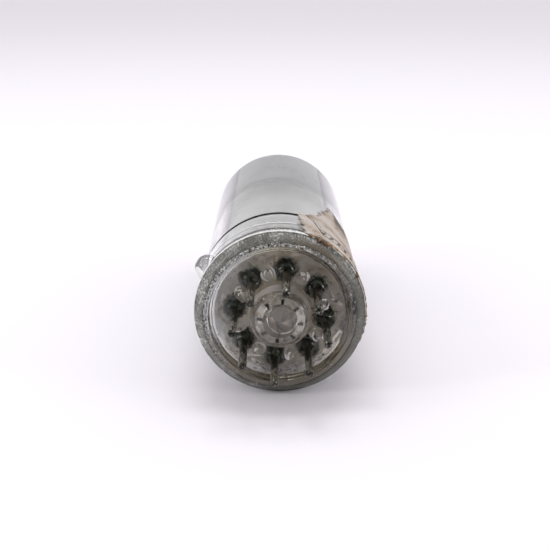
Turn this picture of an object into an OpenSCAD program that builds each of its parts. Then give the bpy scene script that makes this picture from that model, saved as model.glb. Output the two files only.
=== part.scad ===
// Eight-pin all-glass receiving valve (vacuum tube), lying on its side.
// Every module is drawn upright, with +Z from the socket's seating plane to the dome, and is then laid
// down so that the valve's axis is the part's +Y and its pins point along -Y. Millimetres.

/* [Pins] */
// Diameter of the circle that the pins stand on
pin_circle_d = 11.5; // [11.4:0.1:11.6]
// Diameter of a contact pin
pin_d = 1.0; // [0.9:0.05:1.1]
// How far the pins reach below the seating plane
pin_reach = 7.5; // [5:0.1:8]
// Angle of the locating pip, seen from the pin end, from +X towards +Z
key_angle = 150.5; // [0:0.5:359]

/* [Glass] */
// Diameter of the base rim and of the collar behind it
rim_d = 21.8; // [21.4:0.1:22]
// Diameter of the plain bulb above the collar
bulb_d = 21.1; // [20.8:0.1:21.3]
// Height of the collar's shoulder above the seating plane
collar_h = 10.75; // [9:0.05:12]
// Height of the dome's top above the seating plane
seated_h = 56.5; // [52:0.5:60]
// Length of the dome's curve, measured along the axis
dome_h = 9; // [7:0.5:10]
// Wall of the bulb
bulb_wall = 0.9; // [0.7:0.05:1.1]
// Thickness of the pressed base between its two faces
base_t = 2.6; // [2.2:0.1:3]
// Depth of the pin well below the seating plane
well_depth = 0.8; // [0.5:0.05:1.2]
// How far the locating pip stands out from the axis
pip_reach = 12.2; // [12:0.05:12.6]

/* [Electrodes] */
// Height of the lower mica
lower_mica_z = 6.8; // [6.7:0.1:7.2]
// Height of the upper mica
upper_mica_z = 36; // [32:0.5:38]
// Thickness of each mica
mica_t = 0.3; // [0.2:0.05:0.5]
// Outside diameter of the cathode sleeve
cathode_d = 1.2; // [1:0.05:1.3]
// Distance of the control grid's rods from the axis
control_x = 1.55; // [1.5:0.05:1.6]
// Distance of the screen grid's rods from the axis
screen_x = 2.6; // [2.55:0.05:2.65]
// Distance of the suppressor grid's rods from the axis
suppressor_x = 3.6; // [3.55:0.05:3.65]
// Outside diameter of the anode cylinder
anode_d = 9.2; // [9.2:0.1:9.5]
// Outside diameter of the screening cage round the electrodes
cage_d = 16.4; // [16:0.1:16.8]
// Number of upright slots in the side of the screening cage that faces down
cage_slots = 5; // [1:1:6]

/* [Hidden] */
$fn = 96;

pins = 8;
rim_r = rim_d / 2;
bulb_r = bulb_d / 2;
bulb_in_r = bulb_r - bulb_wall;
base_top_z = well_depth + base_t;

// Base rim: the flat crest is what the valve seats on, and the frit bevels back from it to the rim
crest_in_r = 9.15;
crest_out_r = 9.75;
well_r = 8.7;
bevel_h = 1;
frit_h = 2;
collar_step = 0.5;

// Glass cones that wet each pin, below and above the base
cone_foot_r = 1.15;
cone_tip_r = 0.62;
cone_below_z = -0.5;
cone_above_z = base_top_z + 0.7;

// The pin is a little thinner where the glass grips it
pin_r = pin_d / 2;
shank_r = pin_r - 0.02;
pin_top_z = base_top_z + 1;

// Exhaust tube, sealed off as a low dome in the middle of the pins
stub_hole_r = 3.3;
stub_foot_r = 3.95;
stub_side_r = 3.8;
stub_dome_z = -2.4;
stub_dome_round = 1.4;
stub_bore_r = 1.9;
stub_bore_end_z = -0.6;

pip_r = 1.7;
pip_z = 3.8;

mica_r = bulb_in_r - 0.1;
mica_teeth = 40;
tooth_h = 0.45;
hole_gap = 0.05;

grid_rod_r = 0.28;
anode_rod_r = 0.35;
anode_rod_y = anode_d / 2 + anode_rod_r;
cage_rod_r = 0.4;
cage_rod_x = cage_d / 2 - cage_rod_r - 0.15;
rod_low_z = lower_mica_z - 0.8;
rod_top_z = upper_mica_z + mica_t + 1.1;

shield_z = lower_mica_z + mica_t;
shield_t = 0.2;
lower_shield_r = 8.8;
upper_shield_z = upper_mica_z + mica_t + 2.2;
upper_shield_r = 8.6;
upper_shield_h = 1.2;
shield_hole_gap = 0.35;

anode_low_z = lower_mica_z + 1.6;
anode_top_z = upper_mica_z - 1.6;
anode_t = 0.16;

cathode_r = cathode_d / 2;
cathode_wall = 0.07;
coat_t = 0.06;
heater_wire_r = 0.1;
heater_spread = 0.24;
heater_low_z = 5.3;
sleeve_low_z = lower_mica_z - 0.5;
tab_low_z = 5.5;

lead_r = 0.3;
lead_low_z = pin_top_z;

getter_z = upper_shield_z + 4.2;
getter_r = 3.1;
film_t = 0.05;
film_low_z = 26;

label_t = 0.12;
label_gap = 0.02;

// Seen from the pin end the pins are numbered clockwise from the locating pip
function pin_angle(k) = key_angle - 22.5 - 45 * (k - 1);

// A point at radius r and at an angle seen from the pin end, in the upright drawing
function at_angle(r, a, z = 0) = [r * cos(a), -r * sin(a), z];

function unit(v) = v / norm(v);

// Points of a smooth bend with two handles
function bezier(a, b, c, d, steps) = [
    for (i = [0 : steps])
        let (t = i / steps, s = 1 - t)
            s * s * s * a + 3 * s * s * t * b + 3 * s * t * t * c + t * t * t * d
];

function along(path, i) = unit(path[min(i + 1, len(path) - 1)] - path[max(i - 1, 0)]);

// Round wire along a path. side is any direction that the wire never runs along.
module wire(path, r, sides = 8, side = [1, 0, 0]) {
    last = len(path) - 1;
    points = [
        for (i = [0 : last])
            let (t = along(path, i), u = unit(cross(side, t)), v = cross(t, u))
                for (k = [0 : sides - 1])
                    path[i] + r * (cos(360 * k / sides) * u + sin(360 * k / sides) * v)
    ];
    walls = [
        for (i = [0 : last - 1])
            for (k = [0 : sides - 1])
                let (a = i * sides + k, b = i * sides + (k + 1) % sides)
                    each [[a, a + sides, b + sides], [a, b + sides, b]]
    ];
    first_end = [for (k = [0 : sides - 1]) k];
    last_end = [for (k = [0 : sides - 1]) last * sides + sides - 1 - k];
    polyhedron(points = points, faces = concat(walls, [first_end, last_end]));
}

module lay_down() {
    rotate([-90, 0, 0]) children();
}

// ---- Glass ----

// Half outline of the dome, as an oval quarter from its foot to its top
function dome_outline(r, foot_z, top_z, steps = 14) = [
    for (i = [0 : steps])
        let (a = 90 * i / steps)
            [r * pow(cos(a), 0.8), foot_z + (top_z - foot_z) * pow(sin(a), 0.9)]
];

module glass_envelope() {
    dome_foot_z = seated_h - dome_h;
    outer = concat(
        [[rim_r, frit_h], [rim_r, collar_h - collar_step], [bulb_r, collar_h]],
        dome_outline(bulb_r, dome_foot_z, seated_h)
    );
    inner = concat(
        [[crest_out_r, frit_h], [crest_out_r, frit_h + 3], [bulb_in_r, frit_h + 4]],
        dome_outline(bulb_in_r, dome_foot_z, seated_h - bulb_wall)
    );
    reversed = [for (i = [len(inner) - 1 : -1 : 0]) inner[i]];
    color([0.85, 0.87, 0.86, 0.35])
        rotate_extrude() polygon(concat(outer, reversed));
}

module locating_pip() {
    centre_r = pip_reach - pip_r;
    color([0.85, 0.87, 0.86, 0.35])
        difference() {
            translate(at_angle(centre_r, key_angle, pip_z)) sphere(pip_r);
            translate([0, 0, pip_z - 2 * pip_r]) cylinder(h = 4 * pip_r, r = rim_r);
        }
}

module pin_cones() {
    for (k = [1 : pins])
        translate(at_angle(pin_circle_d / 2, pin_angle(k))) {
            translate([0, 0, cone_below_z])
                cylinder(h = well_depth - cone_below_z + 0.2, r1 = cone_tip_r, r2 = cone_foot_r);
            translate([0, 0, base_top_z - 0.2])
                cylinder(h = cone_above_z - base_top_z + 0.2, r1 = cone_foot_r, r2 = cone_tip_r);
        }
}

module base_disc() {
    color([0.62, 0.61, 0.57, 0.5])
        difference() {
            union() {
                rotate_extrude() polygon([
                    [stub_hole_r, well_depth], [well_r, well_depth], [crest_in_r, 0], [crest_out_r, 0],
                    [crest_out_r, base_top_z], [stub_hole_r, base_top_z]
                ]);
                pin_cones();
            }
            for (k = [1 : pins])
                translate(at_angle(pin_circle_d / 2, pin_angle(k), cone_below_z - 1))
                    cylinder(h = cone_above_z - cone_below_z + 2, r = shank_r);
        }
}

module seal_frit() {
    bevel = [
        for (i = [0 : 5])
            let (a = 90 * i / 5)
                [crest_out_r + (rim_r - crest_out_r) * sin(a), 0.1 + bevel_h * (1 - cos(a))]
    ];
    color([0.5, 0.5, 0.47])
        rotate_extrude() polygon(concat(bevel, [[rim_r, frit_h], [crest_out_r, frit_h]]));
}

module exhaust_stub() {
    dome = [
        for (i = [0 : 8])
            let (a = 90 * i / 8)
                [
                    stub_side_r - stub_dome_round * (1 - cos(a)),
                    stub_dome_z + stub_dome_round * (1 - sin(a))
                ]
    ];
    bore_end = [
        for (i = [0 : 6])
            let (a = 90 * i / 6)
                [stub_bore_r * sin(a), stub_bore_end_z + 0.7 * (1 - cos(a))]
    ];
    color([0.75, 0.72, 0.68, 0.4])
        rotate_extrude() polygon(concat(
            [[stub_hole_r, base_top_z], [stub_hole_r, well_depth], [stub_foot_r, well_depth]],
            dome, [[0, stub_dome_z]], bore_end, [[stub_bore_r, base_top_z]]
        ));
}

// ---- Pins and the leads that carry on from them ----

module pin(k) {
    nose = pin_r * 0.8;
    nose_outline = [
        for (i = [0 : 5])
            let (a = 90 * i / 5)
                [pin_r - nose * (1 - sin(a)), nose * (1 - cos(a)) - pin_reach]
    ];
    color([0.3, 0.29, 0.26])
        translate(at_angle(pin_circle_d / 2, pin_angle(k))) {
            translate([0, 0, cone_below_z]) cylinder(h = pin_top_z - cone_below_z, r = shank_r);
            translate([0, 0, -pin_reach + nose]) cylinder(h = pin_reach - nose + cone_below_z, r = pin_r);
            rotate_extrude() polygon(concat([[0, -pin_reach]], nose_outline, [[0, -pin_reach + nose]]));
        }
}

// Where each lead ends, under the electrode that its pin serves
lead_ends = [
    [-0.75, -0.55, heater_low_z],
    [0, -anode_rod_y, rod_low_z],
    [cage_rod_x, 0, rod_low_z],
    [suppressor_x, 0, rod_low_z],
    [screen_x, 0, rod_low_z],
    [control_x, 0, rod_low_z],
    [-1.4, 1.5, tab_low_z],
    [-0.75, 0.55, heater_low_z]
];

module lead(k) {
    start = at_angle(pin_circle_d / 2, pin_angle(k), lead_low_z);
    end = lead_ends[k - 1];
    rise = (end[2] - lead_low_z) * 0.55;
    path = bezier(start, start + [0, 0, rise], end - [0, 0, rise], end, 12);
    color([0.55, 0.53, 0.5]) wire(path, lead_r, side = [start[1] - end[1], end[0] - start[0], 0]);
}

// ---- Micas and shield discs ----

module rod_holes(gap) {
    below = lower_mica_z - 5;
    h = upper_shield_z - below + 5;
    for (sx = [-1, 1]) {
        for (x = [control_x, screen_x, suppressor_x])
            translate([sx * x, 0, below]) cylinder(h = h, r = grid_rod_r + gap);
        translate([sx * cage_rod_x, 0, below]) cylinder(h = h, r = cage_rod_r + gap);
        translate([0, sx * anode_rod_y, below]) cylinder(h = h, r = anode_rod_r + gap);
    }
    translate([0, 0, below]) cylinder(h = h, r = cathode_r + gap);
}

module mica(z) {
    rim = [
        for (i = [0 : 2 * mica_teeth - 1])
            let (a = 180 * i / mica_teeth, r = mica_r - tooth_h * (i % 2))
                [r * cos(a), r * sin(a)]
    ];
    color([0.78, 0.73, 0.6, 0.6])
        difference() {
            translate([0, 0, z]) linear_extrude(mica_t) polygon(rim);
            rod_holes(hole_gap);
        }
}

module lower_mica() {
    mica(lower_mica_z);
}

module upper_mica() {
    mica(upper_mica_z);
}

module lower_shield_disc() {
    color([0.66, 0.65, 0.62])
        difference() {
            translate([0, 0, shield_z]) cylinder(h = shield_t, r = lower_shield_r);
            rod_holes(shield_hole_gap);
        }
}

module upper_shield_disc() {
    h = upper_shield_h;
    color([0.66, 0.65, 0.62])
        translate([0, 0, upper_shield_z])
            difference() {
                cylinder(h = h, r = upper_shield_r);
                translate([0, 0, -1]) cylinder(h = h + 1 - shield_t, r = upper_shield_r - shield_t);
                for (a = [45 : 90 : 315])
                    translate(at_angle(5.6, a, -1)) cylinder(h = h + 2, r = 1.1);
            }
}

module mica_eyelets() {
    flange = 0.25;
    color([0.7, 0.68, 0.62])
        for (sy = [-1, 1])
            for (z = [lower_mica_z - flange, upper_mica_z + mica_t])
                translate([0, sy * anode_rod_y, z])
                    difference() {
                        cylinder(h = flange, r = anode_rod_r + 0.55);
                        translate([0, 0, -1]) cylinder(h = flange + 2, r = anode_rod_r + hole_gap);
                    }
}

// ---- Heater and cathode ----

// The heater is one coated wire, folded twice inside the sleeve so that both legs leave at the bottom
module heater() {
    s = heater_spread;
    fold_z = sleeve_low_z + 1.5;
    top_z = upper_mica_z - 1.5;
    leg = [[-0.75, 0.55, heater_low_z], [-0.75, 0.55, heater_low_z + 0.2], [-s, s, sleeve_low_z - 0.2], [-s, s, top_z]];
    half = concat(leg, [[0, s * 1.2, top_z + 0.3], [s, s, top_z], [s, s, fold_z]]);
    other_half = [for (i = [len(half) - 1 : -1 : 0]) [half[i][0], -half[i][1], half[i][2]]];
    path = concat(half, [[s, 0, fold_z - 0.3]], other_half);
    color([0.93, 0.92, 0.88]) wire(path, heater_wire_r, 6, [1, 1, 0]);
}

module cathode_sleeve() {
    h = rod_top_z - sleeve_low_z;
    color([0.7, 0.69, 0.66])
        difference() {
            translate([0, 0, sleeve_low_z]) cylinder(h = h, r = cathode_r);
            translate([0, 0, sleeve_low_z - 1]) cylinder(h = h + 2, r = cathode_r - cathode_wall);
        }
}

module cathode_coating() {
    color([0.95, 0.94, 0.9])
        difference() {
            translate([0, 0, anode_low_z]) cylinder(h = anode_top_z - anode_low_z, r = cathode_r + coat_t);
            translate([0, 0, anode_low_z - 1])
                cylinder(h = anode_top_z - anode_low_z + 2, r = cathode_r);
        }
}

// Ribbon from the foot of the cathode sleeve to its lead
module cathode_tab() {
    width = 0.7;
    thick = 0.08;
    foot_h = 0.2;
    from = [-0.455, 0.455, sleeve_low_z + 0.2];
    to = [-1.4, 1.5, tab_low_z + foot_h / 2];
    color([0.7, 0.69, 0.66])
        hull() {
            translate(from) rotate([0, 0, 45]) cube([thick, width, 0.3], center = true);
            translate(to) rotate([0, 0, 45]) cube([thick, width, foot_h], center = true);
        }
}

// ---- Grids ----

module grid_rods(x) {
    for (sx = [-1, 1])
        translate([sx * x, 0, rod_low_z]) cylinder(h = rod_top_z - rod_low_z, r = grid_rod_r);
}

// Oval helix that wraps both rods of a grid
module grid_winding(x, half_h, wire_r, turns) {
    steps = 12;
    a = x + grid_rod_r + wire_r + 0.05;
    low_z = lower_mica_z + mica_t + 0.8;
    top_z = upper_mica_z - 0.8;
    path = [
        for (i = [0 : turns * steps])
            let (t = 360 * i / steps, z = low_z + (top_z - low_z) * i / (turns * steps))
                [a * cos(t), half_h * sin(t), z]
    ];
    wire(path, wire_r, 4, [0, 0, 1]);
}

module control_grid_rods() {
    color([0.72, 0.45, 0.3]) grid_rods(control_x);
}

module control_grid_winding() {
    color([0.6, 0.58, 0.55]) grid_winding(control_x, 1.15, 0.05, 20);
}

module screen_grid_rods() {
    color([0.72, 0.45, 0.3]) grid_rods(screen_x);
}

module screen_grid_winding() {
    color([0.6, 0.58, 0.55]) grid_winding(screen_x, 2, 0.05, 16);
}

module suppressor_grid_rods() {
    color([0.66, 0.64, 0.6]) grid_rods(suppressor_x);
}

module suppressor_grid_winding() {
    color([0.6, 0.58, 0.55]) grid_winding(suppressor_x, 3, 0.06, 10);
}

// ---- Anode and screening cage ----

// Round anode pressed from sheet, with two ribs round it to stiffen it
module anode() {
    r = anode_d / 2;
    h = anode_top_z - anode_low_z;
    rib = 0.18;
    color([0.42, 0.42, 0.41])
        difference() {
            union() {
                translate([0, 0, anode_low_z]) cylinder(h = h, r = r - rib);
                for (z = [anode_low_z + h * 0.2, anode_low_z + h * 0.8])
                    translate([0, 0, z - 0.5]) cylinder(h = 1, r = r);
            }
            translate([0, 0, anode_low_z - 1]) cylinder(h = h + 2, r = r - rib - anode_t);
        }
}

module anode_rods() {
    color([0.66, 0.64, 0.6])
        for (sy = [-1, 1])
            translate([0, sy * anode_rod_y, rod_low_z])
                cylinder(h = rod_top_z - rod_low_z, r = anode_rod_r);
}

// Thin cylinder rolled from sheet, plain on one side and slotted on the other
module screening_cage() {
    r = cage_d / 2;
    wall = 0.15;
    low_z = shield_z + shield_t;
    h = upper_mica_z - low_z;
    slot_w = 2.2;
    slot_h = 18;
    slot_pitch = 33;
    slot_low_z = low_z + (h - slot_h) / 2;
    color([0.72, 0.72, 0.73])
        difference() {
            translate([0, 0, low_z]) cylinder(h = h, r = r);
            translate([0, 0, low_z - 1]) cylinder(h = h + 2, r = r - wall);
            for (i = [0 : cage_slots - 1])
                rotate([0, 0, 90 + slot_pitch * (i - (cage_slots - 1) / 2)]) {
                    translate([r / 2, -slot_w / 2, slot_low_z]) cube([r, slot_w, slot_h]);
                    for (z = [slot_low_z, slot_low_z + slot_h])
                        translate([r / 2, 0, z]) rotate([0, 90, 0]) cylinder(h = r, r = slot_w / 2);
                }
        }
}

// The cage's rods run on above the upper mica and carry the upper shield
module cage_rods() {
    top_z = upper_shield_z + upper_shield_h - shield_t;
    color([0.66, 0.64, 0.6])
        for (sx = [-1, 1])
            translate([sx * cage_rod_x, 0, rod_low_z]) cylinder(h = top_z - rod_low_z, r = cage_rod_r);
}

// ---- Getter ----

module getter_ring() {
    channel_h = 0.7;
    channel_w = 0.8;
    wall = 0.12;
    color([0.5, 0.48, 0.45])
        translate([0, 0, getter_z])
            rotate_extrude() polygon([
                [getter_r - channel_w / 2, 0], [getter_r + channel_w / 2, 0],
                [getter_r + channel_w / 2, channel_h], [getter_r + channel_w / 2 - wall, channel_h],
                [getter_r + channel_w / 2 - wall, wall], [getter_r - channel_w / 2 + wall, wall],
                [getter_r - channel_w / 2 + wall, channel_h], [getter_r - channel_w / 2, channel_h]
            ]);
}

module getter_support() {
    post_r = 0.25;
    foot_z = upper_shield_z + upper_shield_h;
    color([0.66, 0.64, 0.6])
        for (sx = [-1, 1])
            translate([sx * getter_r, 0, foot_z]) cylinder(h = getter_z - foot_z, r = post_r);
}

// Bright metal that the getter has thrown on the inside of the dome and the upper bulb
module getter_film() {
    dome_foot_z = seated_h - dome_h;
    outer = concat(
        [[bulb_in_r, film_low_z]], dome_outline(bulb_in_r, dome_foot_z, seated_h - bulb_wall)
    );
    inner = concat(
        [[bulb_in_r - film_t, film_low_z]],
        dome_outline(bulb_in_r - film_t, dome_foot_z, seated_h - bulb_wall - film_t)
    );
    reversed = [for (i = [len(inner) - 1 : -1 : 0]) inner[i]];
    color([0.6, 0.59, 0.6]) rotate_extrude() polygon(concat(outer, reversed));
}

// ---- Label ----

// Sweeps an outline on the glass from one angle to another, seen from the pin end
module wrap(from, to) {
    rotate([0, 0, -to]) rotate_extrude(angle = to - from) children();
}

// Paper wrapped round the right-hand side, down over the collar's shoulder
module paper_label() {
    low_z = 1.7;
    top_z = 24;
    glass = [[rim_r, low_z], [rim_r, collar_h - collar_step], [bulb_r, collar_h], [bulb_r, top_z]];
    under = [for (p = glass) p + [label_gap, 0]];
    over = [for (i = [3 : -1 : 0]) glass[i] + [label_gap + label_t, 0]];
    color([0.86, 0.78, 0.7]) wrap(-32, 77) polygon(concat(under, over));
}

module label_glue() {
    low_z = 1.2;
    color([0.45, 0.32, 0.16])
        wrap(-24, 74) translate([rim_r + label_gap, low_z]) square([label_t, 0.45]);
}

lay_down() glass_envelope();
lay_down() locating_pip();
lay_down() base_disc();
lay_down() seal_frit();
lay_down() exhaust_stub();
for (k = [1 : pins]) {
    lay_down() pin(k);
    lay_down() lead(k);
}
lay_down() lower_shield_disc();
lay_down() lower_mica();
lay_down() upper_mica();
lay_down() upper_shield_disc();
lay_down() mica_eyelets();
lay_down() heater();
lay_down() cathode_sleeve();
lay_down() cathode_coating();
lay_down() cathode_tab();
lay_down() control_grid_rods();
lay_down() control_grid_winding();
lay_down() screen_grid_rods();
lay_down() screen_grid_winding();
lay_down() suppressor_grid_rods();
lay_down() suppressor_grid_winding();
lay_down() anode();
lay_down() anode_rods();
lay_down() screening_cage();
lay_down() cage_rods();
lay_down() getter_ring();
lay_down() getter_support();
lay_down() getter_film();
lay_down() paper_label();
lay_down() label_glue();
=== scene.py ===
import math

import bmesh
import bpy
from mathutils import Matrix, Vector, noise


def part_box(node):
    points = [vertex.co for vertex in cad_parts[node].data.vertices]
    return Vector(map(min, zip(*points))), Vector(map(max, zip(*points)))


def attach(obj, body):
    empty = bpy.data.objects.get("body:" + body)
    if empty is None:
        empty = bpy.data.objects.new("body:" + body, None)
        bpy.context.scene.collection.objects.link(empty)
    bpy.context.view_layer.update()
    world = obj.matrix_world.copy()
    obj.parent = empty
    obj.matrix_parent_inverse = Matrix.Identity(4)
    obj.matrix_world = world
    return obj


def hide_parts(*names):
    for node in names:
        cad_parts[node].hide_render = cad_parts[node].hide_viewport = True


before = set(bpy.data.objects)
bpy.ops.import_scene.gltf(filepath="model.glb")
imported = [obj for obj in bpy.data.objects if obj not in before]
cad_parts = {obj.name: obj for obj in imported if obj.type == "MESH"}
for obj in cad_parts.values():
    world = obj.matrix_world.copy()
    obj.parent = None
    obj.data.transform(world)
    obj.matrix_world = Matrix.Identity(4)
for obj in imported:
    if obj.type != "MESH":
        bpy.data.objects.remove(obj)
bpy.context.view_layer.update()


# ---- The table, the light and the camera ----
# The tube lies on a plain pale sheet inside a light tent, lit by three bright strips. The tent's walls are
# white, its back is a little dimmer, and its mouth, which the pins face, opens on a dark room.

MM = 0.001
rim_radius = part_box("seal_frit")[1].x
table_size = 6
table_gap = 0.01 * MM
table_colour = (0.92, 0.89, 0.94, 1)
tent_colour = (1, 0.985, 1, 1)
tent_behind = 0.9
lit_middle = Vector((0, 0.02, 0))
camera_place = (-0.62 * MM, -104.8 * MM, 42.0 * MM)
camera_dip = 19.2


def add(tree, kind, inputs=None, **settings):
    """Adds a node. An input given another node's socket is linked to it, and any other input is set."""
    node = tree.nodes.new(kind)
    for key, value in settings.items():
        setattr(node, key, value)
    for key, value in (inputs or {}).items():
        if isinstance(value, bpy.types.NodeSocket):
            tree.links.new(value, node.inputs[key])
        else:
            node.inputs[key].default_value = value
    return node


def finish_of(name, **sockets):
    """A new material, its shader's plain values set on the shader's own sockets."""
    material = bpy.data.materials.new(name)
    material.use_nodes = True
    shader = material.node_tree.nodes["Principled BSDF"]
    for key, value in sockets.items():
        shader.inputs[key.replace("_", " ")].default_value = value
    return material, material.node_tree, shader


def spread(tree, value, low, high, to_low=0.0, to_high=1.0):
    """A value carried smoothly from one range to another, and held at its ends."""
    limits = {"Value": value, "From Min": low, "From Max": high, "To Min": to_low, "To Max": to_high}
    return add(tree, "ShaderNodeMapRange", limits, interpolation_type="SMOOTHSTEP").outputs[0]


def sums(tree, operation, *values):
    """A Math node's result."""
    return add(tree, "ShaderNodeMath", dict(enumerate(values)), operation=operation).outputs[0]


def times(tree, first, second):
    return sums(tree, "MULTIPLY", first, second)


def less(tree, first, second):
    return sums(tree, "SUBTRACT", first, second)


bpy.ops.mesh.primitive_plane_add(size=table_size, location=(0, 0, -rim_radius - table_gap))
table = bpy.context.object
table.name = "table"
table_finish, _, _ = finish_of(
    "table_sheet", Base_Color=table_colour, Roughness=0.9, Specular_IOR_Level=0.1)
table.data.materials.append(table_finish)

scene = bpy.context.scene
tent = bpy.data.worlds.new("tent")
scene.world = tent
tent.use_nodes = True
sky = tent.node_tree
background = sky.nodes["Background"]
way = add(sky, "ShaderNodeSeparateXYZ", {0: add(sky, "ShaderNodeTexCoord").outputs["Generated"]}).outputs
mouth = spread(sky, way["Y"], -0.8, 0.1, 0.08, 1.2)
horizon = spread(sky, way["Z"], 0.0, 0.25, 0.88, 1.0)
back_wall = spread(sky, way["Y"], 0.35, 0.85)
back_dimming = spread(sky, way["Z"], 0.0, 0.4, 0.1, 0.33)
back_light = less(sky, 1.0, times(sky, back_wall, back_dimming))
tent_light = times(sky, times(sky, mouth, horizon), back_light)
straight = add(sky, "ShaderNodeLightPath").outputs["Is Camera Ray"]
light_seen = add(sky, "ShaderNodeMix", {0: straight, 2: tent_light, 3: tent_behind}, data_type="FLOAT")
background.inputs["Color"].default_value = tent_colour
sky.links.new(light_seen.outputs[0], background.inputs["Strength"])


def light_strip(name, place, width, height, brightness):
    """A flat light of even brightness at one point, facing the tube."""
    lamp = bpy.data.lights.new(name, "AREA")
    lamp.shape = "RECTANGLE"
    lamp.size, lamp.size_y = width, height
    lamp.energy = brightness * math.pi * width * height
    holder = bpy.data.objects.new(name, lamp)
    scene.collection.objects.link(holder)
    holder.location = place
    holder.rotation_euler = (lit_middle - Vector(place)).to_track_quat("-Z", "Y").to_euler()


light_strip("roof_strip", (0.0, 0.14, 0.5), 0.3, 0.05, 14)
light_strip("left_strip", (-0.45, -0.12, 0.2), 0.05, 0.25, 15)
light_strip("right_strip", (0.45, -0.12, 0.2), 0.05, 0.25, 9)

camera = bpy.data.objects.new("camera", bpy.data.cameras.new("camera"))
scene.collection.objects.link(camera)
scene.camera = camera
camera.location = camera_place
camera.rotation_euler = (math.radians(90 - camera_dip), 0, 0)
camera.data.sensor_width = 36
camera.data.lens = 58.9
camera.data.clip_start, camera.data.clip_end = 0.005, 20

scene.view_settings.view_transform = "Standard"
scene.cycles.use_denoising = True
scene.cycles.max_bounces = 24
scene.cycles.transmission_bounces = 24
scene.cycles.glossy_bounces = 8
scene.cycles.diffuse_bounces = 4
scene.cycles.transparent_max_bounces = 16
scene.cycles.sample_clamp_indirect = 6


# ---- Bulb ----
# One blown tube of soda glass, closed in a dome at one end. Its foot is pressed into a slightly wider
# collar, which tapers to a thin groove where the bulb begins, and is fused to the base through the frit.

bulb_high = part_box("glass_envelope")[1].y / MM
bulb_radius = 10.55
bulb_wall = 1.0
bulb_inside = bulb_radius - bulb_wall
bulb_foot = 2.0
dome_high = 9
dome_foot = bulb_high - dome_high
dome_steps = 28
collar_radius = 10.75
taper_curve = 11
taper_foot = 7.85
groove_radius = 10.34


def out_from_axis(spot):
    """How far a point is from the tube's axis."""
    return math.hypot(spot.x, spot.z)


def lathe(outline, steps, closed=False):
    """Turns an outline of (radius, height) points in millimetres about the tube's axis into a mesh."""
    bm = bmesh.new()
    points = [bm.verts.new((radius * MM, height * MM, 0)) for radius, height in outline]
    edges = [bm.edges.new(pair) for pair in zip(points, points[1:] + points[:1] * closed)]
    bmesh.ops.spin(bm, geom=points + edges, axis=(0, 1, 0), angle=math.tau, steps=steps, use_merge=True)
    on_axis = [vert for vert in bm.verts if out_from_axis(vert.co) < 0.001 * MM]
    bmesh.ops.remove_doubles(bm, verts=on_axis, dist=0.001 * MM)
    bmesh.ops.recalc_face_normals(bm, faces=bm.faces)
    return bm


def piece(name, bm, material, replaced=(), crease=35):
    """Makes a finished mesh a piece of the tube, smooth except at edges sharper than crease degrees."""
    mesh = bpy.data.meshes.new(name)
    bm.to_mesh(mesh)
    bm.free()
    mesh.shade_smooth()
    mesh.set_sharp_from_angle(angle=math.radians(crease))
    mesh.materials.append(material)
    made = bpy.data.objects.new(name, mesh)
    scene.collection.objects.link(made)
    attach(made, "root")
    if replaced:
        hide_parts(*replaced)


def arc(radius, height, across, up, start, end, steps):
    """Points of an elliptical arc about (radius, height), from one angle to another in degrees."""
    turns = [math.radians(start + (end - start) * i / steps) for i in range(steps + 1)]
    return [(radius + across * math.cos(turn), height + up * math.sin(turn)) for turn in turns]


def dome(radius, foot, top, steps):
    """The dome's half outline, fuller than a plain oval."""
    outline = []
    for i in range(steps + 1):
        turn = math.pi / 2 * i / steps
        across = radius * max(0, math.cos(turn)) ** 0.8
        outline.append((across, foot + (top - foot) * math.sin(turn) ** 0.9))
    return outline


def group_of(name, inputs, outputs):
    """Starts a node group from the names and kinds of its sockets, and gives its own two end nodes."""
    tree = bpy.data.node_groups.new(name, "ShaderNodeTree")
    for way_through, sockets in (("INPUT", inputs), ("OUTPUT", outputs)):
        for label, kind in sockets.items():
            tree.interface.new_socket(label, in_out=way_through, socket_type=f"NodeSocket{kind}")
    return tree, add(tree, "NodeGroupInput").outputs, add(tree, "NodeGroupOutput").inputs


def ramp(tree, factor, *stops):
    """A colour ramp through (position, colour) stops, where a colour may be one grey number."""
    node = add(tree, "ShaderNodeValToRGB", {0: factor})
    elements = node.color_ramp.elements
    while len(elements) < len(stops):
        elements.new(0.5)
    for element, (position, colour) in zip(elements, stops):
        element.position = position
        element.color = (*colour, 1) if isinstance(colour, tuple) else (colour, colour, colour, 1)
    return node.outputs["Color"]


def feed(shader, **sources):
    """Links sockets to a shader's inputs by name, with _ for a space."""
    for key, source in sources.items():
        shader.id_data.links.new(source, shader.inputs[key.replace("_", " ")])


def place_of(tree):
    return add(tree, "ShaderNodeTexCoord").outputs["Object"]


# Grain: fine grain and larger patches, both about a half, at one size given as grains to the metre
grain_group, taken, given = group_of(
    "Grain", {"Place": "Vector", "Fineness": "Float"}, {"Grain": "Float", "Patches": "Float"})
patch_size = times(grain_group, taken["Fineness"], 0.12)
for label, size, detail, rough in (("Grain", taken["Fineness"], 3, 0.65), ("Patches", patch_size, 4, 0.6)):
    cloud = add(grain_group, "ShaderNodeTexNoise",
                {"Vector": taken["Place"], "Scale": size, "Detail": detail, "Roughness": rough})
    grain_group.links.new(cloud.outputs["Fac"], given[label])


def grain_of(tree, fineness, place=None):
    """The Grain group placed in a material: its fine grain and its patches."""
    settings = {"Place": place or place_of(tree), "Fineness": fineness}
    made = add(tree, "ShaderNodeGroup", settings, node_tree=grain_group).outputs
    return made["Grain"], made["Patches"]


def rough_skin(tree, shader, height, depth_mm):
    """Gives a material small relief."""
    bump = add(tree, "ShaderNodeBump", {"Strength": 1.0, "Distance": depth_mm * MM, "Height": height})
    feed(shader, Normal=bump.outputs["Normal"])


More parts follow.
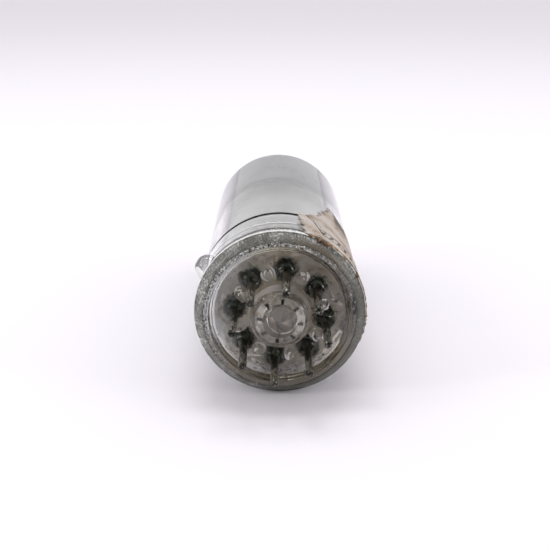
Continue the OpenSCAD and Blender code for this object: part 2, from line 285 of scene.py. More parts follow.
clear_glass, tree, shader = finish_of("clear_glass", Roughness=0.0, IOR=1.5, Transmission_Weight=1.0)
_, ripples = grain_of(tree, 900)
feed(shader, Base_Color=ramp(tree, ripples, (0.3, (0.95, 0.96, 0.955)), (0.7, (0.985, 0.99, 0.985))))
rough_skin(tree, shader, ripples, 0.02)

outer = arc(collar_radius - 0.13, bulb_foot + 0.25, 0.2, 0.25, -90, 80, 8)
outer += [(collar_radius - 0.02, 2.75), (collar_radius - 0.02, 3.1), (collar_radius, 7.5)]
outer += arc(collar_radius - taper_curve, taper_foot, taper_curve, taper_curve, 0, 14, 14)
outer += [(groove_radius, 10.61), (groove_radius, 10.71), (bulb_radius - 0.02, 10.75)]
outer += [(bulb_radius, height) for height in (10.79, 10.95, 11.35)]
outer += dome(bulb_radius, dome_foot, bulb_high, dome_steps)
inner = [(9.78, bulb_foot), (9.78, 4.6), *arc(9.6, 5.4, 0.18, 0.5, 0, 90, 5)]
inner += [(bulb_inside, height) for height in (6.1, 6.6)]
inner += dome(bulb_inside, dome_foot, bulb_high - bulb_wall, dome_steps)
piece("bulb", lathe(outer + inner[::-1], 192, closed=True), clear_glass, ["glass_envelope"])


# ---- Locating pip ----
# A bead of the same glass, fused to the side of the collar between two pins. It drops into the slot of
# the socket's skirt, so that the tube goes in only one way round.

pip_low, pip_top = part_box("locating_pip")
pip_height = (pip_low.y + pip_top.y) / 2
pip_angle = math.radians(150.5)
pip_reach = 12.2
pip_radius = 1.7
pip_root = 10.72

bm = bmesh.new()
bmesh.ops.create_uvsphere(bm, u_segments=48, v_segments=32, radius=pip_radius * MM)
bmesh.ops.translate(bm, verts=bm.verts, vec=((pip_reach - pip_radius) * MM, 0, 0))
bmesh.ops.bisect_plane(bm, geom=bm.verts[:] + bm.edges[:] + bm.faces[:], plane_co=(pip_root * MM, 0, 0),
                       plane_no=(1, 0, 0), clear_inner=True)
bmesh.ops.holes_fill(bm, edges=[edge for edge in bm.edges if edge.is_boundary])
bmesh.ops.rotate(bm, verts=bm.verts, matrix=Matrix.Rotation(-pip_angle, 3, "Y"))
bmesh.ops.translate(bm, verts=bm.verts, vec=(0, pip_height, 0))
bmesh.ops.recalc_face_normals(bm, faces=bm.faces)
piece("pip", bm, clear_glass, ["locating_pip"])


# ---- Pressed base ----
# A thick disc of pressed glass with the eight pin wires moulded through it. Its face is a shallow well
# inside a flat crest. The glass draws up round each pin in a small cone, and lies in lumps between them.

pins = 8
pin_circle = 5.75
first_pin = 83.0
well = 0.8
well_inside = 3.32
well_outside = 8.22
well_steps = 56
base_radius = 9.74
base_back = 3.4
lump_circle = 5.3
glint_ridges_on_lump = 5
dust_and_sheen_turn = 2.9
speck_colour = (0.03, 0.025, 0.02, 1)
near_pin_colour = (0.3, 0.34, 0.24, 1)


def pin_place(number, height=0.0, circle=pin_circle):
    """A pin's centre by its number round the circle, at a height. A half is between two pins."""
    angle = math.radians(first_pin + 45 * number)
    return Vector((circle * math.cos(angle), height, circle * math.sin(angle)))


def held(share):
    """A number kept between 0 and 1."""
    return min(1, max(0, share))


def chance(first, second=0, third=0):
    """A smooth random number about 0 that is always the same for the same three numbers."""
    return noise.noise(Vector((first, second, third)))


def plus(tree, first, second):
    return sums(tree, "ADD", first, second)


def mixed(tree, share, first, second):
    """A colour between two others, either of which may be plain numbers."""
    return add(tree, "ShaderNodeMix", {0: share, 6: first, 7: second}, data_type="RGBA").outputs[2]


# Round the tube: a point's angle from +X towards +Z, its radius and its height, and a vector that gives
# streaks which run outwards from the axis
round_group, taken, given = group_of(
    "Round the tube", {"Place": "Vector"},
    {"Angle": "Float", "Radius": "Float", "Height": "Float", "Streaks": "Vector"})
apart = add(round_group, "ShaderNodeSeparateXYZ", {0: taken["Place"]}).outputs
flat = add(round_group, "ShaderNodeCombineXYZ", {"X": apart["X"], "Z": apart["Z"]}).outputs[0]
radius_of = add(round_group, "ShaderNodeVectorMath", {0: flat}, operation="LENGTH").outputs["Value"]
outwards = add(round_group, "ShaderNodeVectorMath", {0: flat}, operation="NORMALIZE").outputs[0]
depth = add(round_group, "ShaderNodeCombineXYZ", {"Y": times(round_group, radius_of, 12)}).outputs[0]
streaks = add(round_group, "ShaderNodeVectorMath", {0: outwards, 1: depth}, operation="ADD").outputs[0]
turn_of = sums(round_group, "ARCTAN2", apart["Z"], apart["X"])
found = {"Angle": turn_of, "Radius": radius_of, "Height": apart["Y"], "Streaks": streaks}
for label, source in found.items():
    round_group.links.new(source, given[label])

# Round a pin: how far a point is from the nearest of eight places on a circle
pin_group, taken, given = group_of(
    "Round a pin", {"Place": "Vector", "Turn": "Float", "Circle": "Float"}, {"Distance": "Float"})
polar = add(pin_group, "ShaderNodeGroup", {"Place": taken["Place"]}, node_tree=round_group).outputs
past_pin = less(pin_group, polar["Angle"], taken["Turn"])
folded = sums(pin_group, "WRAP", past_pin, math.pi / pins, -math.pi / pins)
off_x = less(pin_group, times(pin_group, polar["Radius"], sums(pin_group, "COSINE", folded)), taken["Circle"])
off_z = times(pin_group, polar["Radius"], sums(pin_group, "SINE", folded))
offset = add(pin_group, "ShaderNodeCombineXYZ", {"X": off_x, "Z": off_z})
distance = add(pin_group, "ShaderNodeVectorMath", {0: offset.outputs[0]}, operation="LENGTH")
pin_group.links.new(distance.outputs["Value"], given["Distance"])


def around(tree):
    """The Round the tube group placed in a material."""
    return add(tree, "ShaderNodeGroup", {"Place": place_of(tree)}, node_tree=round_group).outputs


def from_pins(tree):
    """The Round a pin group placed in a material."""
    settings = {"Place": place_of(tree), "Turn": math.radians(first_pin), "Circle": pin_circle * MM}
    return add(tree, "ShaderNodeGroup", settings, node_tree=pin_group).outputs["Distance"]


def towards(tree, polar, turn):
    """A value that is 1 on the side of the tube at one angle and -1 on the side across from it."""
    return sums(tree, "COSINE", less(tree, polar["Angle"], turn))


def frayed(tree, value, clouding, amount):
    """A value moved up and down by a noise that is about a half."""
    return plus(tree, value, times(tree, less(tree, clouding, 0.5), amount))


def drawn_up(spot):
    """How far the glass face stands out of the flat of the well at a point, in millimetres."""
    radius = out_from_axis(spot)
    nearest = min((spot - pin_place(k, spot.y)).length for k in range(pins))
    lump = min((spot - pin_place(k + 0.5, spot.y, lump_circle)).length for k in range(pins))
    fade = held((8.5 - radius) / 0.8) * held((radius - 3.3) / 0.4)
    cone = 1.2 * math.exp(-max(0, nearest - 0.45) / 0.3)
    swell = 0.3 * math.exp(-((nearest / 1.5) ** 2)) + 0.42 * math.exp(-((lump / 0.8) ** 6))
    ripple = 0.2 * noise.noise(spot * 0.8) + 0.1 * noise.noise(spot * 1.9 + Vector((9, 0, 0)))
    return cone + (swell + ripple) * fade


outline = [(well_inside, base_back), (well_inside, well)]
outline += [(well_inside + 4.9 * i / well_steps, well) for i in range(1, well_steps + 1)]
outline += arc(well_outside, 0.2, 0.45, 0.6, 80, 20, 4)
outline += [(8.85, 0.3), *arc(9.15, 0.25, 0.25, 0.25, 180, 270, 4)]
outline += [(base_radius, 0.04), (base_radius, base_back)]
bm = lathe(outline, 320, closed=True)
for vert in bm.verts:
    spot = vert.co / MM
    if spot.y < well + 0.05 and out_from_axis(spot) < 8.5:
        vert.co.y -= drawn_up(spot) * MM
bmesh.ops.recalc_face_normals(bm, faces=bm.faces)

base_glass, tree, shader = finish_of("base_glass", IOR=1.5, Transmission_Weight=1.0)
_, clouds = grain_of(tree, 1500)
polar = around(tree)
# On its left side the well is rougher with dust and tinted whiter. The whiter tint is a painted reflection of
# the left light.
dust_and_sheen_side = spread(tree, towards(tree, polar, dust_and_sheen_turn), 0.3, 0.9)
dust_and_sheen = times(tree, dust_and_sheen_side, spread(tree, polar["Radius"], 4.5 * MM, 7.5 * MM))
near = frayed(tree, from_pins(tree), clouds, 2.2 * MM)
body = ramp(tree, clouds, (0.35, (0.88, 0.80, 0.66)), (0.5, (0.98, 0.92, 0.81)), (0.62, (1.0, 0.97, 0.91)))
body = mixed(tree, dust_and_sheen, body, (1, 1, 1, 1))
shaded = mixed(tree, spread(tree, near, 0.7 * MM, 1.5 * MM, 0.6, 0), body, near_pin_colour)
specks = add(tree, "ShaderNodeTexVoronoi", {"Vector": place_of(tree), "Scale": 1100}).outputs["Distance"]
feed(shader, Base_Color=mixed(tree, spread(tree, specks, 0.12, 0.07), shaded, speck_colour),
     Roughness=times(tree, dust_and_sheen, ramp(tree, clouds, (0.4, 0.1), (0.55, 0.5))))
rough_skin(tree, shader, clouds, 0.15)
piece("pressed_base", bm, base_glass, ["base_disc"])

# White ridges laid on the lumps between the pins: painted glints where the lumps' upper edges catch the light
glint_ridge_mesh = bmesh.new()
for number in range(pins):
    middle = pin_place(number + 0.5, 0, lump_circle + 0.35)
    for ridge in range(glint_ridges_on_lump):
        luck = chance(number * 3.1, ridge * 2.3, 0.5)
        before = len(glint_ridge_mesh.verts)
        thickness = 0.07 + 0.1 * abs(luck)
        ring = bmesh.ops.create_circle(glint_ridge_mesh, segments=6, radius=thickness * MM)["verts"]
        bmesh.ops.translate(glint_ridge_mesh, verts=ring, vec=((0.22 + 0.17 * ridge + 0.2 * luck) * MM, 0, 0))
        rim = [edge for edge in glint_ridge_mesh.edges if edge.is_wire]
        first = math.radians(45 * number + 60 + 260 * luck)
        sweep = math.radians(50 + 120 * abs(luck))
        bmesh.ops.rotate(glint_ridge_mesh, verts=ring, matrix=Matrix.Rotation(-first, 3, "Y"))
        bmesh.ops.spin(glint_ridge_mesh, geom=ring + rim, axis=(0, 1, 0), steps=12, angle=-sweep)
        glint_ridge_mesh.verts.ensure_lookup_table()
        bmesh.ops.translate(glint_ridge_mesh, verts=glint_ridge_mesh.verts[before:], vec=middle * MM)
bmesh.ops.holes_fill(glint_ridge_mesh, edges=[edge for edge in glint_ridge_mesh.edges if edge.is_boundary])
for vert in glint_ridge_mesh.verts:
    spot = vert.co / MM
    vert.co.y += (well - drawn_up(Vector((spot.x, well, spot.z)))) * MM
bmesh.ops.recalc_face_normals(glint_ridge_mesh, faces=glint_ridge_mesh.faces)
glint_ridge_finish, tree, shader = finish_of("painted_glint_ridges", Roughness=0.25, IOR=1.5)
glint_grain, _ = grain_of(tree, 9000)
feed(shader, Base_Color=ramp(tree, glint_grain, (0.4, (0.6, 0.58, 0.54)), (0.6, (1.0, 0.99, 0.96))))
piece("painted_glint_marks", glint_ridge_mesh, glint_ridge_finish, crease=60)


# ---- Frit ----
# A band of ground glass that was sintered between bulb and base. It stays grainy and grey-green, with a
# bevelled face, radial drag marks, and a glossy outer lip that is painted near-white as a highlight. Two rows
# of fine beads run along the crest, painted as glints, white in patches and near-black between. Its lower
# right side is painted darker as shade.

frit_inside = 9.76
frit_crest = 9.75
bevel_across = 0.95
bevel_up = 0.92
bevel_steps = 22
frit_side = 10.82
lip_low = 0.95
lip_high = 1.35
frit_back = 2.02
scored_turn = 0.3
painted_shade_turn = -0.6
stained_turn = 1.0
bead_rows = ((9.3, 0.135, 320), (9.56, 0.1, 400))
glint_side_turn = 2.1
smallest_bead = 0.05

outline = [(frit_inside, 2.05), (frit_inside, 0.3), (9.6, 0.05), (frit_crest, -0.02)]
for i in range(1, bevel_steps + 1):
    along = i / bevel_steps
    outline.append((frit_crest + bevel_across * along, bevel_up * along ** 1.3))
outline += arc(10.74, 1.15, 0.16, 0.22, -60, 60, 6)
outline += [(frit_side, lip_high + 0.11 * i) for i in range(6)] + [(10.7, frit_back)]
bm = lathe(outline, 720, closed=True)
for vert in bm.verts:
    spot = vert.co / MM
    radius = out_from_axis(spot)
    if spot.y > 1.95 or radius < 9.7:
        continue
    outwards = Vector((spot.x, 0, spot.z)) / radius
    grain = noise.noise(spot * 6) * 0.03 + noise.noise(spot * 13) * 0.02
    calmed = 0.4 if spot.y > lip_low else 1
    one_sided = 0.1 + 0.9 * max(0, outwards.x)
    drag = noise.noise(outwards * 42) * held((radius - 9.9) / 0.8) * calmed * one_sided
    vert.co += outwards * min(0.0, drag * 0.1 + grain) * MM
    vert.co.y += (abs(grain) + max(0, drag) * 0.08) * MM
bmesh.ops.recalc_face_normals(bm, faces=bm.faces)

frit_glass, tree, shader = finish_of("frit_glass", IOR=1.5, Coat_Weight=0.4, Coat_Roughness=0.12)
polar = around(tree)
grains, patches = grain_of(tree, 4600)
drags = add(tree, "ShaderNodeTexNoise",
            {"Vector": polar["Streaks"], "Scale": 60, "Detail": 3, "Roughness": 0.7}).outputs["Fac"]
streaked = times(tree, less(tree, drags, 0.5), spread(tree, polar["Radius"], 10.1 * MM, 10.7 * MM))
scored_side = spread(tree, towards(tree, polar, scored_turn), 0.3, 0.9, 0.35, 1.0)
mottle = plus(tree, times(tree, grains, 0.55), times(tree, patches, 0.45))
mottle = plus(tree, mottle, times(tree, streaked, scored_side))
tone = ramp(tree, mottle, (0.36, (0.02, 0.021, 0.016)), (0.46, (0.12, 0.119, 0.1)),
            (0.55, (0.21, 0.207, 0.19)), (0.64, (0.6, 0.59, 0.57)))
# The lower right side of the frit is painted darker: painted shade.
painted_shade_side = spread(tree, towards(tree, polar, painted_shade_turn), -0.3, 0.8, 0, 0.75)
tone = mixed(tree, painted_shade_side, tone, (0.042, 0.042, 0.022, 1))
stained_side = spread(tree, towards(tree, polar, stained_turn), 0.86, 0.99)
stain = times(tree, stained_side, spread(tree, polar["Radius"], 10.5 * MM, 10.1 * MM))
tone = mixed(tree, times(tree, stain, 0.75), tone, (0.1, 0.075, 0.04, 1))
# The outer lip is glossy, and painted near-white as a highlight line.
over_bevel = spread(tree, polar["Height"], lip_low * MM, (lip_low + 0.1) * MM)
lip_gloss_and_highlight = times(tree, over_bevel, spread(tree, polar["Height"], (lip_high + 0.1) * MM, lip_high * MM))
seam = times(tree, spread(tree, polar["Height"], lip_high * MM, (lip_high + 0.15) * MM), 0.85)
tone = mixed(tree, seam, tone, ramp(tree, grains, (0.4, 0.25), (0.6, 0.85)))
feed(shader, Base_Color=mixed(tree, lip_gloss_and_highlight, tone, (0.92, 0.93, 0.9, 1)),
     Roughness=spread(tree, lip_gloss_and_highlight, 0, 1, 0.42, 0.1))
rough_skin(tree, shader, times(tree, mottle, less(tree, 1.0, lip_gloss_and_highlight)), 0.14)
piece("frit", bm, frit_glass, ["seal_frit"], crease=60)

# The beads are larger on the upper left, where the light falls, and coloured white in patches and near-black
# between: painted glints, not the glass's own colour.
beads = bmesh.new()
for row, (row_radius, bead_radius, count) in enumerate(bead_rows):
    for k in range(count):
        turned = math.tau * (k + 0.5 * chance(k * 1.7, 3, row)) / count
        glint_size_by_side = 0.5 + 0.6 * math.cos(turned - glint_side_turn)
        size = bead_radius * (glint_size_by_side + 0.9 * chance(k * 0.73, row * 5))
        away = row_radius + 0.05 * chance(k * 0.31, 8, row)
        if size > smallest_bead:
            spot = Matrix.Translation(Vector((away * math.cos(turned), 0.0, away * math.sin(turned))) * MM)
            bmesh.ops.create_icosphere(beads, subdivisions=1, radius=size * MM, matrix=spot)
bead_painted_glints, tree, shader = finish_of("bead_painted_glints", Roughness=0.12, IOR=1.5)
clouding, _ = grain_of(tree, 4500)
feed(shader, Base_Color=ramp(tree, clouding, (0.47, (0.04, 0.04, 0.035)), (0.56, (0.9, 0.91, 0.88))))
piece("crest_beads", beads, bead_painted_glints, crease=60)


# ---- Exhaust dome ----
# The glass tube through which the air was pumped out, melted shut and pressed into a low clear dome in the
# middle of the base. Its bore still shows inside.

dome_wall = 3.3
dome_step = 3.98
bore_radius = 1.9
bore_end = -0.6
bore_shift = 0.3
pin_reflection_spread = 0.12
side_reflection_turn = -0.12

outline = [(dome_wall, base_back), (dome_wall, 0.72), (dome_step, 0.72), (3.9, 0.3), (3.86, -0.4)]
outline += [*arc(3.72, -0.75, 0.14, 0.2, 0, -70, 5), (3.6, -0.95)]
outline += [*arc(3.3, -1.3, 0.22, 0.22, 60, -20, 4), (3.1, -1.72), (2.8, -1.98)]
outline += [*arc(2.05, -1.85, 0.62, 0.48, -28, -75, 6), *arc(0, -2.25, 2.1, 0.15, -25, -90, 7)]
outline += [(0, bore_end), *arc(bore_radius - 0.25, bore_end + 0.25, 0.25, 0.25, -90, 0, 5)]
outline += [(bore_radius, base_back)]
bm = lathe(outline, 160, closed=True)
for vert in bm.verts:
    if vert.co.y > (bore_end - 0.05) * MM and out_from_axis(vert.co) < (bore_radius + 0.05) * MM:
        vert.co.x += bore_shift * MM
stub_glass, tree, shader = finish_of("stub_glass", IOR=1.5, Transmission_Weight=1.0)
_, clouds = grain_of(tree, 2200)
foot_dulled = spread(tree, around(tree)["Radius"], 3.7 * MM, 3.8 * MM, 0, 0.4)
feed(shader, Base_Color=ramp(tree, clouds, (0.35, (0.82, 0.76, 0.67)), (0.6, (0.97, 0.94, 0.88))),
     Roughness=sums(tree, "MAXIMUM", ramp(tree, clouds, (0.4, 0.02), (0.7, 0.16)), foot_dulled))
rough_skin(tree, shader, clouds, 0.12)
piece("exhaust_dome", bm, stub_glass, ["exhaust_stub"])

# A thin ring inside the dome, painted with pale reflections at its left and right sides and a dark reflection
# of each pin in line with it
reflection_ring_mesh = lathe([(2.15, -1.62), (3.0, -1.3), (3.0, -1.26), (2.15, -1.58)], 96, closed=True)
painted_reflection_ring, tree, shader = finish_of("painted_reflection_ring", Roughness=0.35)
polar = around(tree)
_, swirls = grain_of(tree, 7000)
past_pin = less(tree, polar["Angle"], math.radians(first_pin))
off_pin_reflection = sums(tree, "ABSOLUTE", sums(tree, "WRAP", past_pin, math.pi / pins, -math.pi / pins))
painted_pin_reflection = spread(tree, plus(tree, off_pin_reflection, times(tree, swirls, pin_reflection_spread)), 0.17, 0.11)
painted_pin_reflection = times(tree, painted_pin_reflection, spread(tree, polar["Radius"], 2.85 * MM, 2.7 * MM))
reflection_sides = spread(tree, sums(tree, "ABSOLUTE", towards(tree, polar, side_reflection_turn)), 0.65, 0.9, 0.3, 1)
painted_side_reflection = times(tree, reflection_sides, spread(tree, swirls, 0.4, 0.52, 0.3, 1))
feed(shader, Base_Color=mixed(tree, painted_pin_reflection, (1, 0.99, 0.96, 1), (0.01, 0.012, 0.008, 1)),
     Alpha=sums(tree, "MAXIMUM", times(tree, painted_pin_reflection, 0.9), times(tree, painted_side_reflection, 0.95)))
piece("painted_reflection_ring", reflection_ring_mesh, painted_reflection_ring, crease=60)


# ---- Pins ----
# Eight lengths of chrome-iron wire, rounded at the tip and sealed through the base. Years in a socket have
# left them dark with oxide, scored along their length, and scraped brighter towards the tips.

pin_radius = 0.5
pin_reach = 7.5
pin_nose = 0.4
pin_top = 4.4
pin_rings = 26
bare_metal = (0.42, 0.4, 0.35, 1)

pin_finish, tree, shader = finish_of("pin_metal", Roughness=0.3, Specular_IOR_Level=0.2)
height = around(tree)["Height"]
along = add(tree, "ShaderNodeMapping", {"Vector": place_of(tree), "Scale": (1, 0.13, 1)})
scores, _ = grain_of(tree, 5200, along.outputs[0])
_, islands = grain_of(tree, 9000)
lower_half = spread(tree, height, -2.0 * MM, -5.5 * MM, -0.12, 0.08)
tip = spread(tree, height, -7.0 * MM, -7.2 * MM, 0, -0.1)
worn = plus(tree, plus(tree, scores, times(tree, islands, 0.35)), plus(tree, lower_half, tip))
bare = spread(tree, worn, 0.7, 0.77)
oxide = ramp(tree, islands, (0.35, (0.002, 0.002, 0.001)), (0.55, (0.01, 0.009, 0.005)),
             (0.7, (0.06, 0.048, 0.03)))
feed(shader, Base_Color=mixed(tree, bare, oxide, bare_metal), Metallic=bare)
rough_skin(tree, shader, times(tree, scores, spread(tree, height, -7.3 * MM, -7.0 * MM)), 0.05)

for number in range(pins):
    node = f"pin_{(1 - number) % pins + 1}"
    outline = [(0, -pin_reach)]
    outline += arc(pin_radius - pin_nose, pin_nose - pin_reach, pin_nose, pin_nose, -90, 0, 6)
    outline += [(pin_radius, -pin_reach + pin_nose + 0.25 * i) for i in range(1, pin_rings + 1)]
    outline += [(pin_radius, 0.0), (pin_radius - 0.01, pin_top), (0, pin_top)]
    bm = lathe(outline, 28)
    for vert in bm.verts:
        wave = noise.noise(vert.co / MM * 2 + Vector((number * 7, 0, 0)))
        vert.co += Vector((vert.co.x, 0, vert.co.z)).normalized() * min(0, wave) * 0.03 * MM
    bmesh.ops.translate(bm, verts=bm.verts, vec=pin_place(number) * MM)
    piece(f"{node}_wire", bm, pin_finish, [node])


# ---- Pin seals ----
# Where hot glass wetted each pin, its dark green chrome oxide spread into the glass as a flared, ragged
# skirt. It is part of the seal and can't be parted from the base.

seal_steps = 12
seal_inside = 0.52
seal_flare = 1.25
seal_low = -0.2
seal_deep = 2.1

seals = bmesh.new()
for number in range(pins):
    rise = []
    for i in range(seal_steps + 1):
        share = i / seal_steps
        rise.append((seal_inside + seal_flare * share ** 1.2, seal_low + seal_deep * share))
    skirt = lathe(rise + [(seal_inside + 0.01, seal_deep)], 72, closed=True)
    for vert in skirt.verts:
        spot = vert.co / MM
        radius = out_from_axis(spot)
        if radius > 0.6:
            outwards = Vector((spot.x, 0, spot.z)) / radius
            ragged = noise.noise(outwards * 2.2 + Vector((number * 4, 0, 0)))
            ragged += 0.8 * noise.noise(outwards * 8)
            vert.co += outwards * (radius - 0.6) * 0.5 * ragged * MM
    bmesh.ops.translate(skirt, verts=skirt.verts, vec=pin_place(number) * MM)
    bmesh.ops.recalc_face_normals(skirt, faces=skirt.faces)
    holder = bpy.data.meshes.new("skirt")
    skirt.to_mesh(holder)
    skirt.free()
    seals.from_mesh(holder)
    bpy.data.meshes.remove(holder)
seal_oxide, tree, shader = finish_of("seal_oxide", Roughness=0.5)
grains, patches = grain_of(tree, 6500)
feather = frayed(tree, from_pins(tree), grains, 2.6 * MM)
green = ramp(tree, patches, (0.4, (0.008, 0.014, 0.006)), (0.55, (0.03, 0.046, 0.024)),
             (0.68, (0.15, 0.18, 0.12)))
feed(shader, Base_Color=green, Alpha=spread(tree, feather, 0.6 * MM, 1.8 * MM, 1, 0))
piece("pin_seals", seals, seal_oxide, crease=60)


# ---- Leads, rods and shields ----
# Nickel wire and sheet, welded under the mount before it is sealed in. Handling and heat leave the metal
# satin, with brownish bloom in places.


def dress(material, *names):
    """Gives its finish to pieces whose shape is right already."""
    for name in names:
        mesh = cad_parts[name].data
        mesh.materials.clear()
        mesh.materials.append(material)


def metal(name, bright, dull, roughness, fineness=2500, relief=0.02, lie=(1, 1, 1)):
    """A metal that varies in patches between two colours, with grain that may be drawn out one way."""
    material, tree, shader = finish_of(name, Metallic=1.0)
    lain = add(tree, "ShaderNodeMapping", {"Vector": place_of(tree), "Scale": lie}).outputs[0]
    grains, patches = grain_of(tree, fineness, lain)
    feed(shader, Base_Color=ramp(tree, patches, (0.38, dull), (0.6, bright)),
         Roughness=ramp(tree, grains, (0.3, roughness * 0.75), (0.7, min(1, roughness * 1.35))))
    rough_skin(tree, shader, grains, relief)
    return material


nickel = metal("nickel", (0.56, 0.53, 0.48), (0.36, 0.32, 0.26), 0.32)
dress(nickel, *[f"lead_{k + 1}" for k in range(pins)])
dress(nickel, "lower_shield_disc", "upper_shield_disc", "mica_eyelets", "cathode_sleeve", "cathode_tab",
      "suppressor_grid_rods", "anode_rods", "cage_rods", "getter_support")


# ---- Mica spacers ----
# Punched sheets of mica whose teeth grip the bulb. They are sprayed with magnesia, which leaves them
# cloudy, and their layers flake a little round the edge.

mica, tree, shader = finish_of("mica", Roughness=0.35, IOR=1.58, Transmission_Weight=0.25)
flakes, clouds = grain_of(tree, 2400)
feed(shader, Base_Color=ramp(tree, clouds, (0.4, (0.72, 0.67, 0.58)), (0.6, (0.93, 0.91, 0.86))))
rough_skin(tree, shader, flakes, 0.04)
dress(mica, "lower_mica", "upper_mica")


# ---- Heater and cathode ----
# A folded tungsten wire baked in white alumina sits inside the nickel cathode, which is sprayed with a
# chalky white oxide between the micas.

white_oxide, tree, shader = finish_of("white_oxide", Roughness=0.95)
chalk, smudges = grain_of(tree, 6000)
feed(shader, Base_Color=ramp(tree, smudges, (0.35, (0.7, 0.69, 0.66)), (0.65, (0.88, 0.875, 0.85))))
rough_skin(tree, shader, chalk, 0.04)
dress(white_oxide, "heater", "cathode_coating")


# ---- Grids ----
# Fine wire wound on pairs of side rods. The rods of the first two grids are copper, which carries the heat
# away, and the windings are a bright molybdenum alloy.

copper = metal("copper", (0.78, 0.46, 0.32), (0.5, 0.26, 0.17), 0.3)
grid_wire = metal("grid_wire", (0.62, 0.62, 0.63), (0.42, 0.42, 0.43), 0.28)
dress(copper, "control_grid_rods", "screen_grid_rods")
dress(grid_wire, "control_grid_winding", "screen_grid_winding", "suppressor_grid_winding")


# ---- Anode and screening cage ----
# The anode is rolled from sheet blackened with carbon, which sheds heat. The cage round it is satin
# nickel, rolled to a cylinder, slotted on its underside and welded to its two rods.

cage_bright = (0.5, 0.495, 0.5)
cage_dull = (0.4, 0.395, 0.395)
anode_black = metal("anode_black", (0.09, 0.09, 0.09), (0.045, 0.044, 0.042), 0.6, relief=0.05)
cage_satin = metal("cage_satin", cage_bright, cage_dull, 0.42, fineness=1600, lie=(1, 0.2, 1))
dress(anode_black, "anode")
dress(cage_satin, "screening_cage")


# ---- Getter ----
# A steel ring held over the upper shield carried a pellet of barium. Once fired it coated the dome and the
# upper bulb with a bright mirror, which thins out to clear glass at its lower edge.

film_sunk = 0.06
film_skin = 0.03
film_foot = 26.0
film_radius = bulb_inside + film_sunk

ring_steel = metal("ring_steel", (0.4, 0.39, 0.38), (0.2, 0.19, 0.2), 0.4)
dress(ring_steel, "getter_ring")
outer = [(film_radius, film_foot), *dome(film_radius, dome_foot, bulb_high - bulb_wall + film_sunk, 36)]
inner = [(max(radius - film_skin, 0), height - film_skin) for radius, height in outer]
bm = lathe(outer + inner[::-1], 160, closed=True)
film, tree, shader = finish_of("getter_film", Metallic=1.0)
_, drifts = grain_of(tree, 900)
edge = frayed(tree, around(tree)["Height"], drifts, 6 * MM)
feed(shader, Base_Color=ramp(tree, drifts, (0.35, (0.30, 0.31, 0.33)), (0.65, (0.4, 0.41, 0.42))),
     Alpha=spread(tree, edge, 26.5 * MM, 35 * MM), Roughness=ramp(tree, drifts, (0.3, 0.22), (0.7, 0.4)))
piece("getter_mirror", bm, film, ["getter_film"])


# ---- Paper label ----
# A thin printed label, glued over the collar and the bulb after testing. Half of it has been torn away,
# and what is left has yellowed, taken up dirt, and lifted its fibres along the tear.

label_foot = 1.72
label_top = 24.0
label_turns = (-32, 77)
label_cells = (270, 150)
paper_thick = 0.08
ink = (0.02, 0.02, 0.02, 1)
soot = (0.13, 0.12, 0.1, 1)
dark_streak_colour = (0.05, 0.035, 0.02, 1)
clean_paste = (0.68, 0.58, 0.48, 1)
brown_gum = (0.26, 0.15, 0.06, 1)


def label_radius(height):
    """Where the paper lies: on the collar, then down over its shoulder to the bulb."""
    down = held((height - 8.2) / 2.6)
    return 10.77 - 0.2 * down * down * (3 - 2 * down)


def torn_turn(height):
    """The angle at which the tear crosses a height."""
    rough = 2.2 * chance(height * 0.9) + 3.2 * chance(height * 2.3, 5) + 1.6 * chance(height * 6.5, 9)
    if height < 10.3:
        return 73 + 0.45 * (height - 1.7) + rough
    return 77 - 16 * min(1, (height - 10.3) / 3.2) - 1.6 * max(0, height - 13.5) + rough * 1.6


def torn_top(turned):
    """The height at which the torn upper edge crosses an angle."""
    return 20.5 + 2.2 * chance(turned * 0.07, 2) + 0.7 * chance(turned * 0.5, 7) + 0.12 * max(0, turned - 25)


bm = bmesh.new()
bmesh.ops.create_grid(bm, x_segments=label_cells[0], y_segments=label_cells[1], size=0.5)
for vert in bm.verts:
    turned = label_turns[0] + (label_turns[1] - label_turns[0]) * (vert.co.x + 0.5)
    vert.co = Vector((turned, label_foot + (label_top - label_foot) * (vert.co.y + 0.5), 0))
gone = []
for face in bm.faces:
    turned, height, _ = face.calc_center_median()
    if turned > torn_turn(height) or height > torn_top(turned):
        gone.append(face)
bmesh.ops.delete(bm, geom=gone, context="FACES")
for _ in range(2):
    border = [vert for vert in bm.verts if vert.is_boundary]
    bmesh.ops.smooth_vert(bm, verts=border, factor=0.5, use_axis_x=True, use_axis_y=True, use_axis_z=True)
for vert in bm.verts:
    turned, height, _ = vert.co
    by_tear = held(1 - (torn_turn(height) - turned) / 3)
    away = label_radius(height) + 0.04 * abs(chance(turned * 0.05, height * 0.2, 4)) * by_tear
    angle = math.radians(turned)
    vert.co = Vector((away * math.cos(angle), height, away * math.sin(angle))) * MM
bmesh.ops.recalc_face_normals(bm, faces=bm.faces)
if sum(face.normal.dot(face.calc_center_median()) for face in bm.faces) < 0:
    bmesh.ops.reverse_faces(bm, faces=bm.faces)
bmesh.ops.solidify(bm, geom=bm.faces[:], thickness=-paper_thick * MM)


def line_at(tree, value, middle, half_width):
    """A mask that is 1 along a printed line or band."""
    off = sums(tree, "ABSOLUTE", less(tree, value, middle))
    return spread(tree, off, half_width * 1.3, half_width * 0.7)


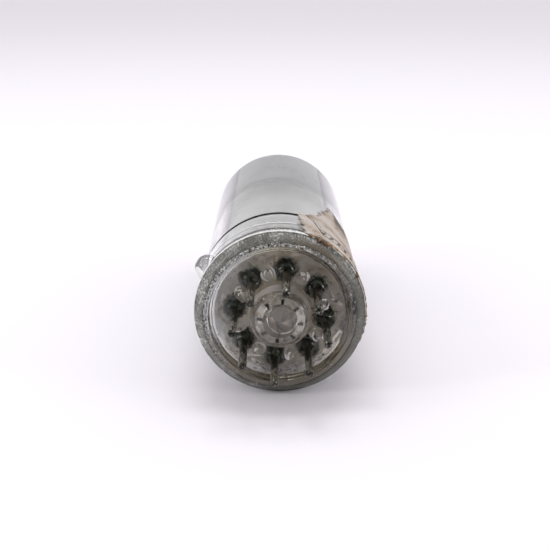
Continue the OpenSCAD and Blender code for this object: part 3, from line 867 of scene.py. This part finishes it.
paper, tree, shader = finish_of("paper", Roughness=0.9)
polar = around(tree)
turn, height = polar["Angle"], polar["Height"]
fibres, blotches = grain_of(tree, 2600)
sheet = ramp(tree, blotches, (0.33, (0.27, 0.2, 0.14)), (0.45, (0.44, 0.38, 0.33)),
             (0.62, (0.52, 0.47, 0.43)))
dirt = spread(tree, plus(tree, turn, times(tree, blotches, 1.2)), 0.95, 0.5, 0, 0.85)
sheet = mixed(tree, dirt, sheet, soot)
tide_height = plus(tree, height, times(tree, blotches, 3 * MM))
tide = spread(tree, tide_height, 4.2 * MM, 2.8 * MM, 0, 0.85)
tide_colour = mixed(tree, spread(tree, turn, 0.85, 1.05), clean_paste, brown_gum)
sheet = mixed(tree, tide, sheet, tide_colour)
# A dark streak painted along one angle near the top of the paper
dark_streak = times(tree, spread(tree, height, 15.5 * MM, 18 * MM), line_at(tree, turn, 0.62, 0.13))
sheet = mixed(tree, times(tree, dark_streak, 0.8), sheet, dark_streak_colour)

# The printed border is one slanting line, and two rings with hatching between them
askew = less(tree, turn, times(tree, height, 26))
inside = times(tree, spread(tree, height, 3.9 * MM, 4.0 * MM), spread(tree, askew, 0.945, 0.935))
rings = sums(tree, "MAXIMUM", line_at(tree, height, 4.1 * MM, 0.2 * MM),
             line_at(tree, height, 6.2 * MM, 0.15 * MM))
slope = plus(tree, times(tree, turn, 55), times(tree, height, 1500))
strokes = spread(tree, sums(tree, "SINE", slope), 0.2, 0.5)
hatching = times(tree, strokes, line_at(tree, height, 5.15 * MM, 0.7 * MM))
side_lines = sums(tree, "MAXIMUM", line_at(tree, askew, 0.93, 0.015), line_at(tree, askew, 0.87, 0.006))
printed = sums(tree, "MAXIMUM", sums(tree, "MAXIMUM", rings, hatching), side_lines)
unworn = spread(tree, fibres, 0.62, 0.5)
border = times(tree, times(tree, inside, printed), unworn)
feed(shader, Base_Color=mixed(tree, border, sheet, ink))
rough_skin(tree, shader, fibres, 0.08)
piece("torn_label", bm, paper, ["paper_label"])


# ---- Dried glue ----
# The gum that held the label crept out along its lower edge and dried as an amber bead on the collar.
# It is thickest by the tear, where the label was soaked.

glue_turns = (-24, 74)
glue_steps = 300
glue_radius = 10.9
glue_height = 1.35
glue_thick = 0.2
thickest_turn = 62

bm = bmesh.new()
ring = bmesh.ops.create_circle(bm, segments=12, radius=glue_thick * MM)["verts"]
bmesh.ops.translate(bm, verts=ring, vec=(glue_radius * MM, glue_height * MM, 0))
bmesh.ops.rotate(bm, verts=ring, matrix=Matrix.Rotation(-math.radians(glue_turns[0]), 3, "Y"))
bmesh.ops.spin(bm, geom=bm.verts[:] + bm.edges[:], axis=(0, 1, 0), steps=glue_steps,
               angle=-math.radians(glue_turns[1] - glue_turns[0]))
for vert in bm.verts:
    spot = vert.co / MM
    outwards = Vector((spot.x, 0, spot.z)).normalized()
    middle = outwards * glue_radius + Vector((0, glue_height, 0))
    turned = math.degrees(math.atan2(spot.z, spot.x))
    fat = 0.7 + 0.6 * chance(turned * 0.2, 0, 1) + 0.5 * chance(turned * 0.7, 3)
    fat += 0.7 * max(0, 1 - abs(turned - thickest_turn) / 16)
    taper = min(1, (turned - glue_turns[0]) / 4, (glue_turns[1] - turned) / 4)
    away = (spot - middle) * max(0.06, fat * max(0.05, taper))
    away.y *= 1.8
    sunk = outwards * 0.1 * max(0, fat - 0.9)
    sagged = Vector((0, 0.3 * max(0, fat - 0.8), 0))
    vert.co = (middle + away - sunk - sagged) * MM
bmesh.ops.holes_fill(bm, edges=[edge for edge in bm.edges if edge.is_boundary])
bmesh.ops.recalc_face_normals(bm, faces=bm.faces)
gum, tree, shader = finish_of("gum", IOR=1.48, Transmission_Weight=0.35, Roughness=0.25)
crumbs, clots = grain_of(tree, 5000)
amber = ramp(tree, clots, (0.35, (0.05, 0.022, 0.006)), (0.5, (0.26, 0.14, 0.05)),
             (0.66, (0.62, 0.45, 0.28)))
feed(shader, Base_Color=amber)
rough_skin(tree, shader, crumbs, 0.05)
piece("glue_bead", bm, gum, ["label_glue"])
